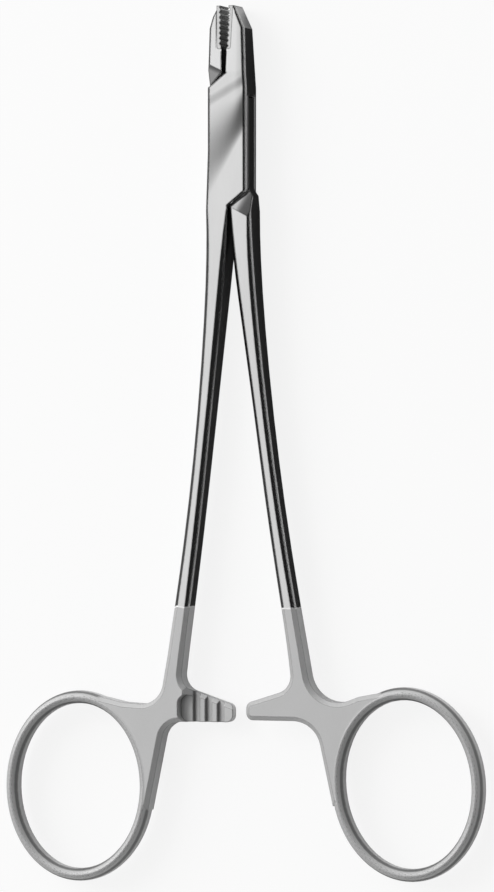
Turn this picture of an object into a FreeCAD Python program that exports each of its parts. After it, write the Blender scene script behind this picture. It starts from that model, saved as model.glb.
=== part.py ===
import FreeCAD, Part
import os
import re
import Sketcher

# Wire twisting forceps, about 150 mm long, with a box lock, carbide jaw inserts and a ratchet.
# X runs to the right across the forceps and Y towards the jaws.
# Z runs up from the back face that it lies on.
# The pivot axis is the Z axis. All lengths are millimetres and all angles degrees.
# The left handle carries the right jaw and the two plates of the box.
# The right handle carries the left jaw and the tongue that passes through the box.

SIZES = {
    # Box lock
    "lock_width": (7.0, "width of the lock across the plates"),
    "lock_thickness": (5.8, "thickness of the lock, front to back"),
    "lock_bevel": (0.45, "bevel along the long edges of the lock"),
    "plate_thickness": (1.5, "thickness of the front and of the back plate"),
    "tongue_clearance": (0.05, "gap between the tongue and each plate"),
    "slot_end": (7.35, "height of the slot's end wall at the side of the lock"),
    "plate_corner": (8.8, "height of the plates' slanted edges at the side of the lock"),
    "crotch_height": (11.5, "distance from the pivot to the upper and lower crotch"),
    "crotch_offset": (0.12, "the upper crotch lies this far left, the lower one right"),
    "plate_edge_bevel": (0.3, "bevel on the plates' slanted edges"),
    "closing_angle": (3.3, "turn of the right handle from the rest pose until the jaws meet"),
    "stop_clearance": (0.08, "gap that stays between the halves when the jaws meet"),
    "pin_diameter": (2.4, "rivet that joins the halves"),
    "pin_clearance": (0.04, "running clearance round the rivet in the tongue"),
    "facet_distance": (9.8, "distance from the pivot to the crease of a shoulder facet"),
    "facet_run": (4.0, "length of a facet from its crease down to the tongue"),
    "facet_turn": (29.6, "angle of a facet's crease across the handle"),
    # Jaws
    "jaw_tip": (22.85, "distance from the pivot to the jaw tips"),
    "jaw_shoulder": (19.0, "height where the sides turn in towards the tip"),
    "jaw_tip_thickness": (4.5, "thickness of the jaws at the tip"),
    "jaw_bevel": (0.35, "bevel along the outer edges at the jaw tips"),
    "jaw_face_offset": (0.59, "the gripping plane passes this far left of the pivot"),
    "jaw_face_lean": (2.0, "lean of the gripping plane to the right"),
    "right_jaw_tip_x": (1.2, "outer side of the right jaw at its tip"),
    "right_jaw_shoulder_x": (2.97, "outer side of the right jaw at its shoulder"),
    "right_jaw_root_x": (3.32, "outer side of the right jaw at its root"),
    "left_jaw_tip_x": (1.72, "outer side of the left jaw at its tip"),
    "left_jaw_cheek_x": (2.76, "outer side of the left jaw between tip and shoulder"),
    "left_jaw_shoulder_x": (3.32, "outer side of the left jaw at its shoulder"),
    "left_jaw_root_x": (3.42, "outer side of the left jaw at its root"),
    # Jaw inserts
    "insert_width": (0.8, "depth of an insert from the gripping face into the jaw"),
    "insert_end": (15.4, "distance from the pivot to the lower end of an insert"),
    "insert_corner": (0.45, "rounding of an insert's lower corner"),
    "tooth_pitch": (0.89, "pitch of the serrations"),
    "tooth_depth": (0.32, "depth of the serrations"),
    # Shanks
    "flare_start": (2.0, "the sides of the lock flare out below this distance"),
    "neck_end": (12.0, "distance from the pivot to the end of the lock's forging"),
    "neck_thickness": (5.7, "thickness where the shanks leave the lock"),
    "crotch_bevel": (0.1, "inner bevel of the shanks where they leave the crotch"),
    "left_neck_x": (3.85, "outer side of the left shank where it leaves the lock"),
    "right_neck_x": (4.22, "outer side of the right shank where it leaves the lock"),
    "tongue_shoulder_x": (4.3, "outer side of the right shank at its shoulder"),
    "tongue_shoulder": (9.6, "distance from the pivot to that shoulder"),
    "shoulder_flare": (0.5, "the right shank flares out from this far above the plates' corner"),
    "shank_top": (20.0, "distance from the pivot to the upper end of the bowed shanks"),
    "shank_foot": (88.0, "distance from the pivot to the lower end of the shanks"),
    "left_top_x": (2.16, "centre of the left shank at its upper end"),
    "left_middle_x": (5.27, "centre of the left shank half way down"),
    "left_foot_x": (9.77, "centre of the left shank at its foot"),
    "right_top_x": (2.76, "centre of the right shank at its upper end"),
    "right_middle_x": (6.73, "centre of the right shank half way down"),
    "right_foot_x": (12.13, "centre of the right shank at its foot"),
    "shank_top_width": (3.5, "width of a shank at its upper end"),
    "shank_waist_width": (2.43, "width of a shank at its waist"),
    "shank_foot_width": (2.9, "width of a shank at its foot"),
    "shank_top_thickness": (5.5, "thickness of a shank at its upper end"),
    "shank_waist_thickness": (4.3, "thickness of a shank half way down"),
    "shank_top_bevel": (0.65, "bevel of a shank at its upper end"),
    "handle_thickness": (4.1, "thickness of the flat web between shank, ring and ratchet arm"),
    "handle_bevel": (0.7, "bevel along the edges of the web"),
    # Finger rings
    "left_ring_x": (27.95, "centre of the left finger ring, left of the pivot"),
    "right_ring_x": (31.75, "centre of the right finger ring, right of the pivot"),
    "left_ring_drop": (23.05, "distance from the shank's foot to the left ring's centre"),
    "right_ring_drop": (21.5, "distance from the shank's foot to the right ring's centre"),
    "left_ring_tilt": (-1.5, "turn of the left ring"),
    "right_ring_tilt": (5.6, "turn of the right ring"),
    "ring_opening_width": (22.6, "width of a finger opening"),
    "ring_opening_length": (28.5, "length of a finger opening"),
    "ring_width": (2.2, "width of the ring's oval section"),
    "ring_thickness": (4.2, "thickness of the ring's oval section"),
    # Web between shank, ring and arm; drops are measured from the shank's foot
    "web_spread": (0.18, "slope of the web's outer side as the shank widens into it"),
    "web_narrowing": (0.12, "slope of the web's inner side"),
    "left_hollow": (8.9, "drop of the corner of the left upper hollow"),
    "right_hollow": (9.9, "drop of the corner of the right upper hollow"),
    "left_bend": (8.5, "drop of the bend in the left web's upper edge"),
    "right_bend": (6.8, "drop of the bend in the right web's upper edge"),
    "web_bend_in": (8.5, "that bend lies this far inside the ring's centre"),
    "web_end_up": (15.85, "the web's upper edge ends this far above the ring's centre"),
    "web_end_in": (2.5, "and this far inside it"),
    "left_hollow_radius": (4.0, "radius of the left upper hollow"),
    "right_hollow_radius": (5.5, "radius of the right upper hollow"),
    "lower_hollow_in": (16.2, "corner of the lower hollow, inside the ring's centre"),
    "left_lower_hollow_radius": (3.4, "radius of the left lower hollow"),
    "right_lower_hollow_radius": (5.0, "radius of the right lower hollow"),
    "web_foot_down": (3.9, "the web runs out on the ring this far below its centre"),
    "web_foot_in": (13.05, "and this far inside it"),
    # Ratchet; drops are measured from the shank's foot
    "left_arm_bottom": (11.6, "drop of the left arm's lower edge"),
    "right_arm_bottom": (11.1, "drop of the right arm's lower edge"),
    "left_arm_tip_top": (8.65, "drop of the left arm's upper edge at its tip"),
    "right_arm_tip_top": (8.2, "drop of the right arm's upper edge at its tip"),
    "arm_root_top": (5.6, "drop of the corner between arm and shank"),
    "arm_root_radius": (3.0, "radius of that corner"),
    "arm_tip_radius": (1.2, "rounding of the arms' tips"),
    "left_arm_tip_x": (-0.25, "tip of the left arm, left of the pivot"),
    "right_arm_tip_x": (3.1, "tip of the right arm, right of the pivot"),
    "ratchet_level": (0.4, "the toothed faces lie this far in front of the middle"),
    "ratchet_gap": (0.16, "gap between the two arms' toothed faces"),
    "ratchet_run": (1.63, "distance from an arm's tip to the steep face of its first tooth"),
    "ratchet_pitch": (2.2, "pitch of the ratchet teeth"),
    "ratchet_land": (0.95, "flat top of a ratchet tooth"),
    "ratchet_ramp": (0.29, "run of the slanted face of a ratchet tooth"),
    "ratchet_depth": (0.6, "depth of the ratchet teeth"),
    "recess_run": (9.5, "distance from an arm's tip to the end of its recess"),
    "recess_corner": (1.5, "rounding of the recess's corners"),
    "rim_width": (0.9, "width of the rim that stays above the recess"),
    "rim_run": (1.3, "length over which the rim falls to the toothed face"),
    "arm_bevel": (0.7, "bevel along the upper edge of the toothed face"),
}

SERRATIONS = 8
RATCHET_TEETH = 3
SHANK_STATIONS = 5
# Length beyond the solid that a cut reaches, so that it leaves no skin
BEYOND = 3.0

MIDDLE = "lock_thickness / 2"
TONGUE_TOP = "lock_thickness - plate_thickness - tongue_clearance"
TONGUE_BOTTOM = "plate_thickness + tongue_clearance"
TOLERANCE = 1e-4

os.makedirs("parts", exist_ok=True)
doc = FreeCAD.newDocument("wire_twisting_forceps")
sheet = doc.addObject("Spreadsheet::Sheet", "Sizes")
for row, (alias, (value, meaning)) in enumerate(SIZES.items(), start=1):
    sheet.set(f"A{row}", alias)
    sheet.set(f"B{row}", str(value))
    sheet.set(f"C{row}", meaning)
    sheet.setAlias(f"B{row}", alias)
doc.recompute()


def formula(text):
    """The text with each size's name turned into a reference to its cell."""
    return re.sub(r"[a-z_]+", lambda word: "Sizes." + word[0] if word[0] in SIZES else word[0], str(text))


def number(text):
    """The value that a formula has now."""
    return float(sheet.evalExpression(formula(text)))


def bind(item, path, text):
    """Tie one property of an object to a formula of the sizes."""
    item.setExpression(path, formula(text))


def new_sketch(body, name, plane, base=("0", "0", "0"), turn=None, about=(0, 0, 1)):
    """A sketch on one of the body's own planes, shifted and turned in that plane's frame."""
    sketch = body.newObject("Sketcher::SketchObject", name)
    support = [item for item in body.Origin.OriginFeatures if item.Role == plane][0]
    sketch.AttachmentSupport = (support, [""])
    sketch.MapMode = "FlatFace"
    angle = number(turn) if turn else 0
    shift = FreeCAD.Vector(*[number(text) for text in base])
    rotation = FreeCAD.Rotation(FreeCAD.Vector(*about), angle)
    sketch.AttachmentOffset = FreeCAD.Placement(shift, rotation)
    for axis, text in zip("xyz", base):
        bind(sketch, f"AttachmentOffset.Base.{axis}", text)
    if turn:
        bind(sketch, "AttachmentOffset.Rotation.Angle", turn)
    return sketch


def constrain(sketch, kind, places, text):
    """One dimension of a sketch, tied to a formula."""
    index = sketch.addConstraint(Sketcher.Constraint(kind, *places, number(text)))
    bind(sketch, f"Constraints[{index}]", text)


def arc_between(start, end, radius, turn):
    """The arc from start to end that bends left (turn 1) or right (turn -1)."""
    chord = end - start
    rise = (radius ** 2 - (chord.Length / 2) ** 2) ** 0.5
    normal = FreeCAD.Vector(-chord.y, chord.x, 0).normalize() * turn
    centre = (start + end) * 0.5 + normal * rise
    crown = centre - normal * radius
    return Part.Arc(start, crown, end).toShape().Curve, centre


def outline(sketch, points):
    """A closed outline through pinned points; (x, y, radius, turn) starts an arc to the next."""
    first = sketch.GeometryCount
    places = [FreeCAD.Vector(number(point[0]), number(point[1]), 0) for point in points]
    count = len(points)
    starts = []
    ends = []
    for index, point in enumerate(points):
        start = places[index]
        end = places[(index + 1) % count]
        if len(point) == 2:
            sketch.addGeometry(Part.LineSegment(start, end))
            starts.append(1)
            ends.append(2)
            continue
        radius = number(point[2])
        circle, centre = arc_between(start, end, radius, point[3])
        flat = Part.Circle(centre, FreeCAD.Vector(0, 0, 1), radius)
        low, high = (start, end) if point[3] > 0 else (end, start)
        sketch.addGeometry(Part.ArcOfCircle(flat, flat.parameter(low), flat.parameter(high)))
        starts.append(1 if point[3] > 0 else 2)
        ends.append(2 if point[3] > 0 else 1)
    for index, point in enumerate(points):
        before = (index - 1) % count
        joint = (first + before, ends[before], first + index, starts[index])
        sketch.addConstraint(Sketcher.Constraint("Coincident", *joint))
        constrain(sketch, "DistanceX", (-1, 1, first + index, starts[index]), point[0])
        constrain(sketch, "DistanceY", (-1, 1, first + index, starts[index]), point[1])
        if len(point) > 2:
            constrain(sketch, "Radius", (first + index,), point[2])


def circle(sketch, radius):
    """A circle round the sketch's origin."""
    centre = FreeCAD.Vector(0, 0, 0)
    sketch.addGeometry(Part.Circle(centre, FreeCAD.Vector(0, 0, 1), number(radius)))
    sketch.addConstraint(Sketcher.Constraint("Coincident", 0, 3, -1, 1))
    constrain(sketch, "Radius", (0,), radius)


def ellipse(sketch, centre_x, half_width, half_height):
    """An ellipse that is taller than wide, centred on the sketch's horizontal axis."""
    centre = FreeCAD.Vector(number(centre_x), 0, 0)
    top = centre + FreeCAD.Vector(0, number(half_height), 0)
    side = centre + FreeCAD.Vector(number(half_width), 0, 0)
    sketch.addGeometry(Part.Ellipse(top, side, centre))
    sketch.exposeInternalGeometry(0)
    sketch.addConstraint(Sketcher.Constraint("PointOnObject", 0, 3, -1))
    constrain(sketch, "DistanceX", (-1, 1, 0, 3), centre_x)
    sketch.addConstraint(Sketcher.Constraint("Vertical", 1))
    constrain(sketch, "Distance", (1,), f"2 * ({half_height})")
    constrain(sketch, "Distance", (2,), f"2 * ({half_width})")


def pad(body, name, sketch, length):
    """Material to both sides of a sketch, length in all."""
    feature = body.newObject("PartDesign::Pad", name)
    feature.Profile = sketch
    feature.SideType = "Symmetric"
    bind(feature, "Length", length)
    sketch.Visibility = False
    return feature


def pocket(body, name, sketch, length=None, side="Symmetric", backwards=False):
    """A cut from a sketch, length in all, or right through where none is given."""
    feature = body.newObject("PartDesign::Pocket", name)
    feature.Profile = sketch
    feature.SideType = side
    feature.Reversed = backwards
    if length is None:
        feature.Type = "ThroughAll"
    else:
        bind(feature, "Length", length)
    sketch.Visibility = False
    return feature


def loft(body, name, sketches, ruled):
    """A solid through a row of sections."""
    feature = body.newObject("PartDesign::AdditiveLoft", name)
    feature.Profile = sketches[0]
    feature.Sections = sketches[1:]
    feature.Ruled = ruled
    for sketch in sketches:
        sketch.Visibility = False
    return feature


def chamfer(body, name, base, wanted, size):
    """A bevel on the edges of the last feature that pass a test."""
    doc.recompute()
    edges = [f"Edge{index}" for index, edge in enumerate(base.Shape.Edges, start=1) if wanted(edge)]
    feature = body.newObject("PartDesign::Chamfer", name)
    feature.Base = (base, edges)
    bind(feature, "Size", size)
    return feature


def rounding(body, name, base, places, radius):
    """Rounds the upright edges of the last feature that stand at given places in plan."""
    doc.recompute()
    edges = []
    for index, edge in enumerate(base.Shape.Edges, start=1):
        first, last = edge.Vertexes[0].Point, edge.Vertexes[-1].Point
        upright = abs(first.x - last.x) < TOLERANCE and abs(first.y - last.y) < TOLERANCE
        if upright and any(abs(first.x - x) < TOLERANCE and abs(first.y - y) < TOLERANCE for x, y in places):
            edges.append(f"Edge{index}")
    feature = body.newObject("PartDesign::Fillet", name)
    feature.Base = (base, edges)
    bind(feature, "Radius", radius)
    return feature


def section(body, name, distance, left, right, thickness, left_bevel, right_bevel, rise=None):
    """An eight-sided section of a forging, at a distance below the pivot."""
    sketch = new_sketch(body, name, "XZ_Plane", ("0", MIDDLE, distance))
    half = f"({thickness}) / 2"
    rise_left = f"{half} - ({rise or left_bevel})"
    rise_right = f"{half} - ({rise or right_bevel})"
    outline(sketch, [
        (f"{left} + {left_bevel}", f"-{half}"),
        (f"{right} - ({right_bevel})", f"-{half}"),
        (right, f"-({rise_right})"),
        (right, rise_right),
        (f"{right} - ({right_bevel})", half),
        (f"{left} + {left_bevel}", half),
        (left, rise_left),
        (left, f"-({rise_left})"),
    ])
    return sketch


def along(start, end, share):
    """The value a share of the way from one size to another."""
    return f"({start} + ({end} - ({start})) * {share})"


def bowed(start, middle, end, share):
    """The value a share of the way along a bow through three sizes."""
    first = f"({start}) * {(1 - share) * (1 - 2 * share)}"
    second = f"({middle}) * {4 * share * (1 - share)}"
    third = f"({end}) * {share * (2 * share - 1)}"
    return f"({first} + {second} + {third})"


# Lines that both halves share, so that the jaws, shoulders and crotches meet when closed.
# Each gives a place on the line for a height (or a side) as a formula.
def grip_x(height):
    """The gripping plane, at a height above the pivot."""
    return f"(tan(jaw_face_lean) * ({height}) - jaw_face_offset)"


def slope(corner, x):
    """A slanted edge from the side of the lock to the crotch, carried on to x, upper left."""
    run = "(lock_width / 2 - crotch_offset)"
    return f"({corner} - ({x} + lock_width / 2) * ({corner} - crotch_height) / {run})"


def wall(x):
    """The end wall of the slot, upper right, as a height."""
    run = "(lock_width / 2 + crotch_offset)"
    return f"(slot_end + (lock_width / 2 - ({x})) * (crotch_height - slot_end) / {run})"


WIDE = f"(lock_width / 2 + {BEYOND})"
INNER_TOP = "left_top_x - shank_top_width / 2"


def left_inner(distance):
    """The inner side of the left shank's neck, as far left of the pivot as it lies."""
    run = "(shank_top - crotch_height)"
    share = f"(({distance}) - crotch_height) / {run}"
    return f"(-crotch_offset + ({INNER_TOP} + crotch_offset) * {share})"


def upper_room_of_right_jaw(grow):
    """The space of the right jaw and the wall below it; grow widens it to the left."""
    top = f"jaw_tip + {BEYOND}"
    return [
        (f"{grip_x(top)} - {grow}", top),
        (f"-crotch_offset - {grow}", f"crotch_height - {grow}"),
        (WIDE, f"{wall(WIDE)} - {grow}"),
        (WIDE, top),
    ]


def lower_room_of_left_shank(grow):
    """The space of the left shank's neck and the wall above it; grow widens it to the right."""
    return [
        (f"-{WIDE}", f"-({wall(WIDE)}) + {grow}"),
        (f"crotch_offset + {grow}", f"-crotch_height + {grow}"),
        (f"-({left_inner('shank_top')}) + {grow}", "-shank_top"),
        (f"-{WIDE}", "-shank_top"),
    ]


def room_of_plates(grow):
    """The space between the plates' two slanted edges; grow widens it up and down."""
    corner = slope("plate_corner", f"-{WIDE}")
    return [
        (f"-{WIDE}", f"{corner} + {grow}"),
        ("-crotch_offset", f"crotch_height + {grow}"),
        (WIDE, f"crotch_height + {grow}"),
        (WIDE, f"-{corner} - {grow}"),
        ("crotch_offset", f"-crotch_height - {grow}"),
        (f"-{WIDE}", f"-crotch_height - {grow}"),
    ]


def shank(body, name, side, neck):
    """The bowed eight-sided shank from the neck down to the web."""
    sections = [neck]
    for station in range(SHANK_STATIONS):
        share = station / (SHANK_STATIONS - 1)
        centre = bowed(f"{name}_top_x", f"{name}_middle_x", f"{name}_foot_x", share)
        if share < 0.5:
            width = along("shank_waist_width", "shank_top_width", (1 - 2 * share) ** 2)
        else:
            width = along("shank_waist_width", "shank_foot_width", (2 * share - 1) ** 2)
        thickness = bowed("shank_top_thickness", "shank_waist_thickness", "handle_thickness", share)
        distance = along("shank_top", "shank_foot", share)
        bevel = along("shank_top_bevel", "handle_bevel", share)
        bevels = [bevel, bevel]
        if station == SHANK_STATIONS - 1:
            bevels = [foot_bevel("in"), foot_bevel("out")]
        if side < 0:
            bevels.reverse()
        left = f"({side} * ({centre}) - ({width}) / 2)"
        right = f"({side} * ({centre}) + ({width}) / 2)"
        label = f"{name}_shank_section_{station}"
        sections.append(section(body, label, distance, left, right, thickness, *bevels, rise=bevel))
    return loft(body, f"{name}_shank", sections, ruled=False)


def below_foot(drop):
    """The height of a place that lies a drop below the shank's foot."""
    return f"-(shank_foot + {drop})"


def foot_bevel(edge):
    """The bevel of the web's edge, measured straight across the shank at its foot."""
    run = "web_spread" if edge == "out" else "web_narrowing"
    return f"handle_bevel * sqrt(1 + {run}^2)"


def web(body, name, side):
    """The flat web between shank, ring and ratchet arm, with rounded corners and bevelled edges."""
    ring = f"{name}_ring_x"
    foot = f"{name}_foot_x"
    tip = f"{name}_arm_tip_x"
    centre = f"({name}_ring_drop + shank_foot)"
    upper = (f"{foot} + shank_foot_width / 2 + web_spread * {name}_hollow", below_foot(f"{name}_hollow"))
    lower = (f"{ring} - lower_hollow_in", below_foot(f"{name}_arm_bottom"))
    root = (f"{foot} - shank_foot_width / 2 + web_narrowing * arm_root_top", below_foot("arm_root_top"))
    end = [(tip, below_foot(f"{name}_arm_bottom")), (tip, below_foot(f"{name}_arm_tip_top"))]
    across = [
        (f"{foot} + shank_foot_width / 2", "-shank_foot"),
        upper,
        (f"{ring} - web_bend_in", below_foot(f"{name}_bend")),
        (f"{ring} - web_end_in", f"web_end_up - {centre}"),
        (ring, f"-{centre}"),
        (f"{ring} - web_foot_in", f"-web_foot_down - {centre}"),
        lower,
        *end,
        root,
        (f"{foot} - shank_foot_width / 2", "-shank_foot"),
    ]
    sketch = new_sketch(body, f"{name}_web_outline", "XY_Plane", ("0", "0", MIDDLE))
    outline(sketch, [(f"{side} * ({x})", y) for x, y in across])
    plate = pad(body, f"{name}_web", sketch, "handle_thickness")
    for part, corners, radius in (
            ("hollow", [upper], f"{name}_hollow_radius"),
            ("lower_hollow", [lower], f"{name}_lower_hollow_radius"),
            ("arm_root", [root], "arm_root_radius"),
            ("arm_tip", end, "arm_tip_radius")):
        places = [(side * number(x), number(y)) for x, y in corners]
        plate = rounding(body, f"{name}_{part}_rounding", plate, places, radius)

    def on_rim(edge):
        centre = edge.valueAt((edge.FirstParameter + edge.LastParameter) / 2)
        level = abs(abs(centre.z - number(MIDDLE)) - number("handle_thickness / 2")) < TOLERANCE
        return level and abs(centre.y + number("shank_foot")) > TOLERANCE

    chamfer(body, f"{name}_web_bevel", plate, on_rim, "handle_bevel")
    ring_cut = ring_plane(body, name, side, f"{name}_web_opening")
    ellipse(ring_cut, "0", "(ring_opening_width + ring_width) / 2", "(ring_opening_length + ring_width) / 2")
    pocket(body, f"{name}_web_hollow", ring_cut)


def ring_plane(body, name, side, label):
    """A sketch plane at the centre of a ring, in line with it."""
    base = (f"{side} * {name}_ring_x", below_foot(f"{name}_ring_drop"), MIDDLE)
    return new_sketch(body, label, "XY_Plane", base, turn=f"{name}_ring_tilt")


def ring(body, name, side):
    """The finger ring, an oval bar swept round an ellipse."""
    path = ring_plane(body, name, side, f"{name}_ring_path")
    ellipse(path, "0", "(ring_opening_width + ring_width) / 2", "(ring_opening_length + ring_width) / 2")
    base = (below_foot(f"{name}_ring_drop"), MIDDLE, f"{side} * {name}_ring_x")
    bar = new_sketch(body, f"{name}_ring_bar", "YZ_Plane", base, turn=f"{name}_ring_tilt", about=(0, 1, 0))
    ellipse(bar, "(ring_opening_length + ring_width) / 2", "ring_width / 2", "ring_thickness / 2")
    sweep = body.newObject("PartDesign::AdditivePipe", f"{name}_ring")
    sweep.Profile = bar
    sweep.Spine = (path, ["Edge1"])
    path.Visibility = False
    bar.Visibility = False


def ratchet(body, name, side, front):
    """The toothed half of a ratchet arm: front 1 cuts the front face, -1 the back face."""
    tip = f"{name}_arm_tip_x"
    tip_top = f"{name}_arm_tip_top"
    bottom = f"{name}_arm_bottom"
    crest = f"({MIDDLE} + ratchet_level - {front} * ratchet_gap / 2)"
    low = f"({crest} - {front} * ratchet_depth)"
    face = f"({MIDDLE} + {front} * handle_thickness / 2)"
    clear = f"({face} + {front} * {BEYOND})"
    last = f"(ratchet_run + {RATCHET_TEETH} * ratchet_pitch - ratchet_land)"

    def from_tip(run):
        return f"{side} * ({tip} + {run})"

    points = [(from_tip(f"{last} + rim_run"), clear), (from_tip(-BEYOND), clear), (from_tip(-BEYOND), crest)]
    for tooth in range(RATCHET_TEETH):
        steep = f"ratchet_run + {tooth} * ratchet_pitch"
        next_land = f"{steep} + ratchet_pitch - ratchet_land"
        points.append((from_tip(steep), crest))
        points.append((from_tip(steep), low))
        points.append((from_tip(f"{next_land} - ratchet_ramp"), low))
        points.append((from_tip(next_land), crest))
    points.append((from_tip(f"{last} + rim_run"), face))
    profile = new_sketch(body, f"{name}_teeth_profile", "XZ_Plane", ("0", "0", f"shank_foot + {bottom}"))
    outline(profile, points)
    pocket(body, f"{name}_teeth", profile, f"2 * ({bottom} - arm_root_top + arm_root_radius)")

    root = f"({name}_foot_x - shank_foot_width / 2 + web_narrowing * arm_root_top)"
    fall = f"(({tip_top} - arm_root_top) / ({root} - {tip}))"
    rim = f"(rim_width * sqrt(1 + {fall}^2))"

    def under_rim(run, drop=0):
        return below_foot(f"({tip_top} - {fall} * ({run}) + {rim} + {drop})")

    far = "recess_run"
    near = f"{last} - ratchet_ramp"
    bend = "recess_run - recess_corner"
    below = below_foot(f"({bottom} + {BEYOND})")
    recess = new_sketch(body, f"{name}_recess_outline", "XY_Plane", ("0", "0", crest))
    outline(recess, [
        (from_tip(near), under_rim(near)),
        (from_tip(bend), under_rim(bend), "recess_corner", -side),
        (from_tip(far), under_rim(bend, "recess_corner")),
        (from_tip(far), below_foot(f"({bottom} - recess_corner)"), "recess_corner", -side),
        (from_tip(bend), below_foot(bottom)),
        (from_tip(bend), below),
        (from_tip(near), below),
    ])
    pocket(body, f"{name}_recess", recess, side="One side", backwards=front > 0)

    base = (below_foot(tip_top), crest, f"{side} * {tip}")
    edge = new_sketch(body, f"{name}_arm_bevel_profile", "YZ_Plane", base, f"{side} * atan({fall})", (0, 1, 0))
    outline(edge, [
        (f"-arm_bevel - {BEYOND}", f"{front * BEYOND}"),
        (BEYOND, f"{front * BEYOND}"),
        (BEYOND, f"-{front} * (arm_bevel + {BEYOND})"),
    ])
    pocket(body, f"{name}_arm_bevel", edge, f"2 * {last}")


def lock_block(body, name, rows):
    """The straight-sided forging of jaws and lock, from the tips down to the neck."""
    sections = []
    for index, (distance, left, right, thickness, bevel) in enumerate(rows):
        label = f"{name}_block_section_{index}"
        sections.append(section(body, label, distance, f"({left})", f"({right})", thickness, bevel, bevel))
    return loft(body, f"{name}_block", sections, ruled=True)


def jaw_thickness(height):
    """The thickness of a jaw at a height above the pivot."""
    share = f"((jaw_tip - ({height})) / (jaw_tip - crotch_height))"
    return along("jaw_tip_thickness", "lock_thickness", share)


def grip_plane(body, name, side):
    """A sketch plane whose vertical axis lies in a jaw's gripping face."""
    if side > 0:
        return new_sketch(body, name, "XY_Plane", ("-jaw_face_offset", "0", MIDDLE), turn="-jaw_face_lean")
    across = "-jaw_face_offset * cos(closing_angle) - stop_clearance"
    base = (across, "-jaw_face_offset * sin(closing_angle)", MIDDLE)
    return new_sketch(body, name, "XY_Plane", base, turn="closing_angle - jaw_face_lean")


def insert_edge(side, inner, top):
    """The sides of an insert in plan, from its lower end on the face round to its tip."""
    return [
        (f"{side} * {inner}", "insert_end"),
        (f"{side} * (insert_width - insert_corner)", "insert_end", "insert_corner", side),
        (f"{side} * insert_width", "insert_end + insert_corner"),
        (f"{side} * insert_width", top),
        (f"{side} * {inner}", top),
    ]


def insert_seat(body, name, side):
    """The slot in a jaw that holds its insert."""
    sketch = grip_plane(body, f"{name}_seat_outline", side)
    outline(sketch, insert_edge(side, f"(-{BEYOND})", f"jaw_tip + {BEYOND}"))
    pocket(body, f"{name}_seat", sketch)


def jaw_insert(name, side):
    """A carbide insert, cross-cut with teeth on its gripping face and ground flush with the jaw."""
    body = doc.addObject("PartDesign::Body", name)
    body.Label = name
    sketch = grip_plane(body, f"{name}_outline", side)
    points = insert_edge(side, "0", f"jaw_tip + {BEYOND}")
    for tooth in range(SERRATIONS):
        crest = f"jaw_tip - ({tooth} + {side} / 4) * tooth_pitch"
        points.append(("0", crest))
        points.append((f"{side} * tooth_depth", f"{crest} - tooth_pitch / 2"))
    points.append(("0", f"jaw_tip - ({SERRATIONS} + {side} / 4) * tooth_pitch"))
    outline(sketch, points)
    pad(body, f"{name}_blank", sketch, "lock_thickness")
    profile = new_sketch(body, f"{name}_flush_profile", "YZ_Plane")
    far = f"jaw_tip + 2 * {BEYOND}"
    outline(profile, [
        ("crotch_height", "lock_thickness"),
        ("jaw_tip", f"{MIDDLE} + jaw_tip_thickness / 2"),
        ("jaw_tip", f"{MIDDLE} - jaw_tip_thickness / 2"),
        ("crotch_height", "0"),
        ("crotch_height", f"-{BEYOND}"),
        (far, f"-{BEYOND}"),
        (far, f"lock_thickness + {BEYOND}"),
        ("crotch_height", f"lock_thickness + {BEYOND}"),
    ])
    pocket(body, f"{name}_flush_faces", profile)
    return body


def both_ends(body, name, feature):
    """The same cut again on the other side of the pivot, half a turn round it."""
    both = body.newObject("PartDesign::PolarPattern", name)
    both.Originals = [feature]
    both.Axis = ([item for item in body.Origin.OriginFeatures if item.Role == "Z_Axis"][0], [""])
    both.Occurrences = 2
    both.Angle = 360
    body.Tip = both


def pin_hole(body, name, radius):
    """The bore for the rivet."""
    sketch = new_sketch(body, f"{name}_pin_outline", "XY_Plane")
    circle(sketch, radius)
    pocket(body, f"{name}_pin_hole", sketch)


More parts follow.
